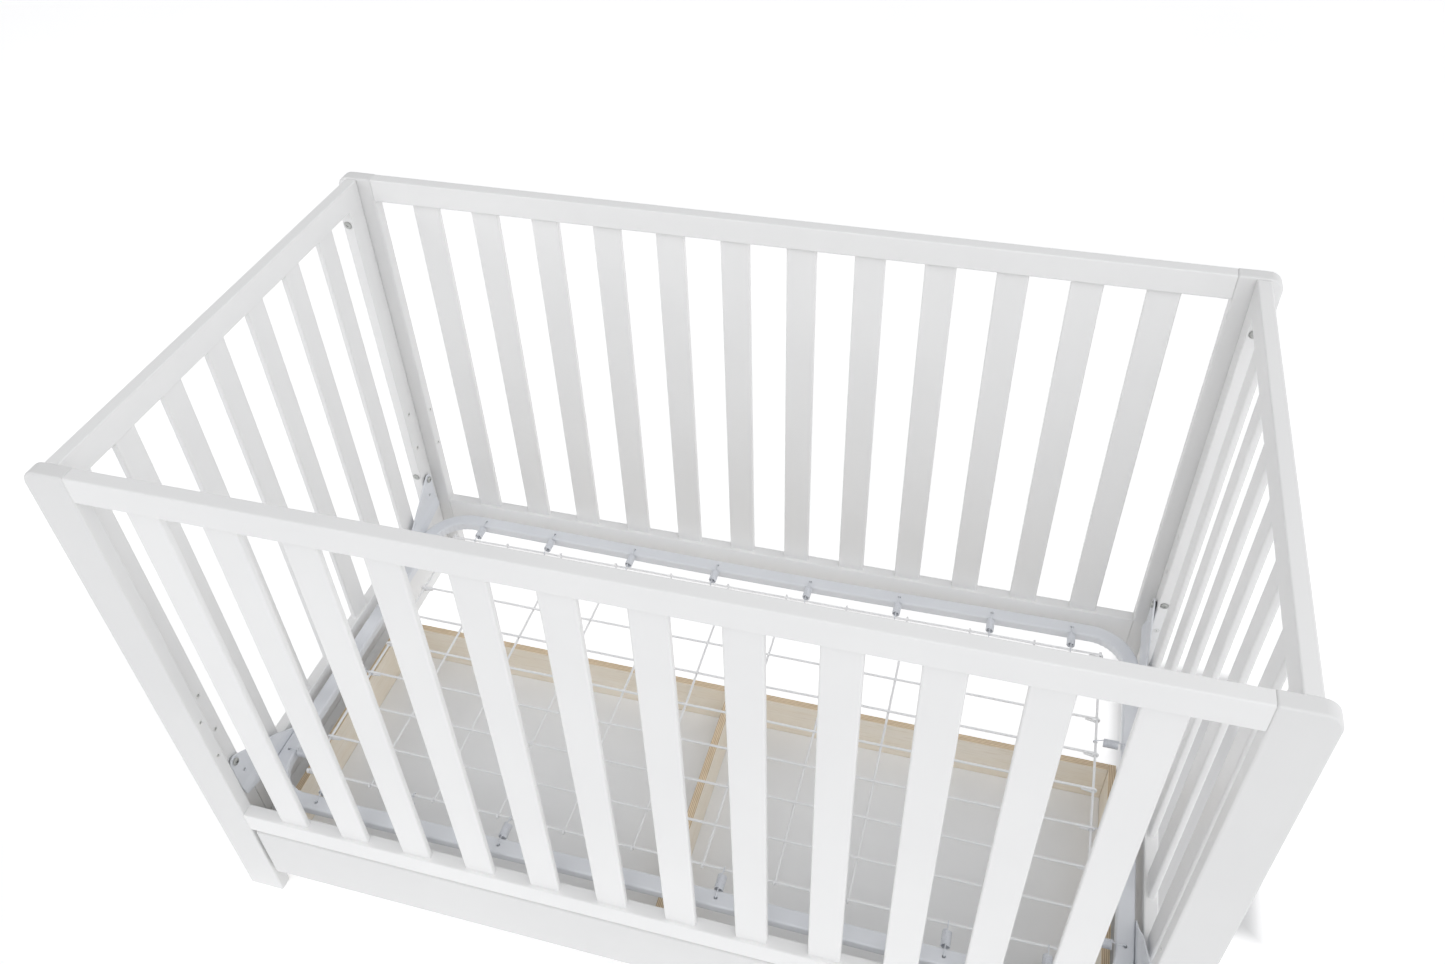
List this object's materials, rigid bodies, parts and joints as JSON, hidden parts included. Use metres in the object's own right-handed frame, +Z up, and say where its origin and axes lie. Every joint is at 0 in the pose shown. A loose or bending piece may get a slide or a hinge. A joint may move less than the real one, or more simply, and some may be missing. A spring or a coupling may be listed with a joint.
{
  "type": "baby crib",
  "caption": "Baby crib with slatted sides, flat square posts, an adjustable sprung wire mattress base in a bent tube frame, and a wide drawer below that slides out to the front.",
  "frame": {"origin": "centre of the footprint, on the floor", "axes": "+X along the crib's length, to the right when the drawer side is faced; -Y is the front, where the drawer comes out; +Z up"},
  "size_m": [1.4, 0.746, 0.904],
  "materials": {
    "white_paint": "white satin lacquer on solid wood",
    "white_steel": "white powder coat, semi-gloss",
    "zinc": "zinc plated",
    "birch_ply": "birch plywood, clear lacquer, layers showing on the edges",
    "white_panel": "white faced thin panel, matt"
  },
  "bodies": {
    "crib_frame": {"back_bottom_rail": "white_paint", "back_left_post": "white_paint", "back_right_post": "white_paint", "back_slat_01": "white_paint", "back_slat_02": "white_paint", "back_slat_03": "white_paint", "back_slat_04": "white_paint", "back_slat_05": "white_paint", "back_slat_06": "white_paint", "back_slat_07": "white_paint", "back_slat_08": "white_paint", "back_slat_09": "white_paint", "back_slat_10": "white_paint", "back_slat_11": "white_paint", "back_slat_12": "white_paint", "back_top_rail": "white_paint", "front_bottom_rail": "white_paint", "front_left_post": "white_paint", "front_right_post": "white_paint", "front_slat_01": "white_paint", "front_slat_02": "white_paint", "front_slat_03": "white_paint", "front_slat_04": "white_paint", "front_slat_05": "white_paint", "front_slat_06": "white_paint", "front_slat_07": "white_paint", "front_slat_08": "white_paint", "front_slat_09": "white_paint", "front_slat_10": "white_paint", "front_slat_11": "white_paint", "front_slat_12": "white_paint", "front_top_rail": "white_paint", "left_drawer_runner": "white_paint", "left_end_back_stile": "white_paint", "left_end_front_stile": "white_paint", "left_end_slat_panel": "white_paint", "left_end_top_rail": "white_paint", "right_drawer_runner": "white_paint", "right_end_back_stile": "white_paint", "right_end_front_stile": "white_paint", "right_end_slat_panel": "white_paint", "right_end_top_rail": "white_paint"},
    "mattress_support": {"back_left_bracket": "white_steel", "back_left_bracket_bolt": "zinc", "back_right_bracket": "white_steel", "back_right_bracket_bolt": "zinc", "front_left_bracket": "white_steel", "front_left_bracket_bolt": "zinc", "front_right_bracket": "white_steel", "front_right_bracket_bolt": "zinc", "mattress_frame": "white_steel", "wire_grid": "white_steel"},
    "drawer": {"drawer_back": "birch_ply", "drawer_bottom": "white_panel", "drawer_divider": "birch_ply", "drawer_front": "white_paint", "drawer_left_side": "birch_ply", "drawer_left_slide": "white_paint", "drawer_right_side": "birch_ply", "drawer_right_slide": "white_paint"}
  },
  "joints": [
    {"name": "drawer_slide", "type": "slide", "parent": "crib_frame", "child": "drawer", "axis": [0, -1, 0], "range_m": [0, 0.36]},
    {"name": "mattress_height", "type": "slide", "parent": "crib_frame", "child": "mattress_support", "axis": [0, 0, 1], "range_m": [0, 0.156]}
  ]
}
